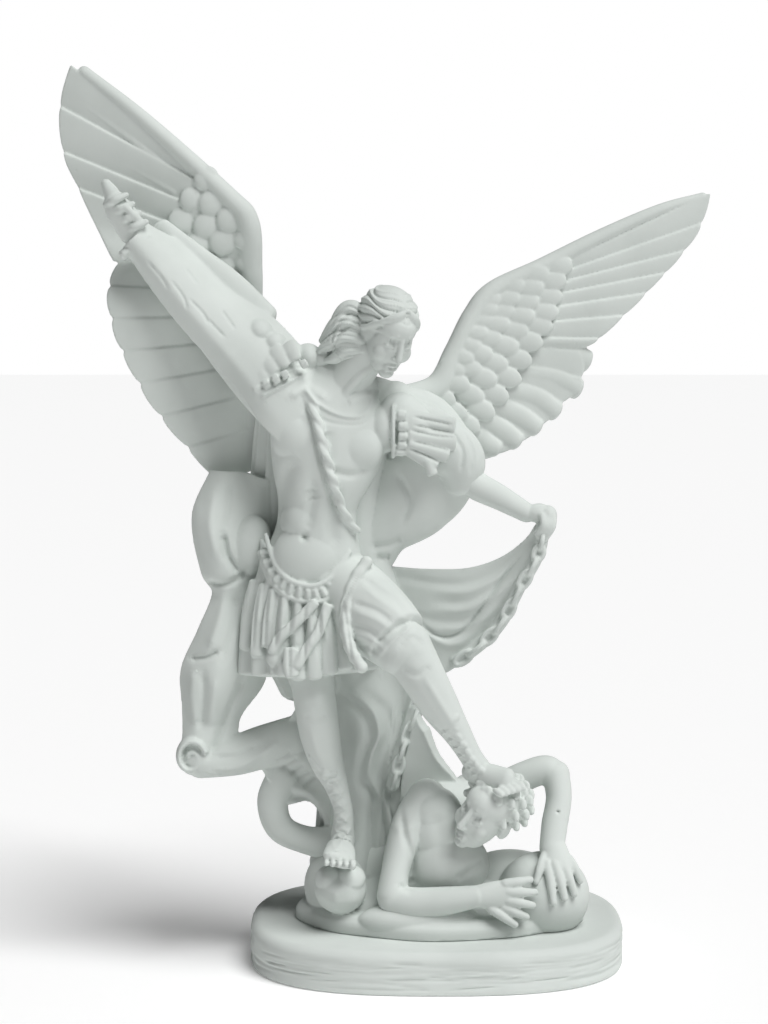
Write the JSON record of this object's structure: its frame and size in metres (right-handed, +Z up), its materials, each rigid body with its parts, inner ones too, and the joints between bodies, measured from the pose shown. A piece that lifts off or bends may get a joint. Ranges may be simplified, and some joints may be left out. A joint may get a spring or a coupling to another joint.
{
  "type": "archangel michael statue",
  "caption": "White cast figure group of a winged archangel in classical armour standing over a fallen devil, on an oval plinth.",
  "frame": {"origin": "centre of the plinth's underside, on the surface it stands on", "axes": "+X to the viewer's right along the plinth's length, +Y away from the viewer, +Z up"},
  "size_m": [0.233, 0.11, 0.3192],
  "materials": {
    "cast_plaster": "matte white cast plaster, faintly grey green",
    "plinth_plaster": "matte white cast plaster with a rough, grooved wall"
  },
  "bodies": {
    "root": {"statue": "cast_plaster", "plinth": "plinth_plaster"}
  },
  "joints": []
}
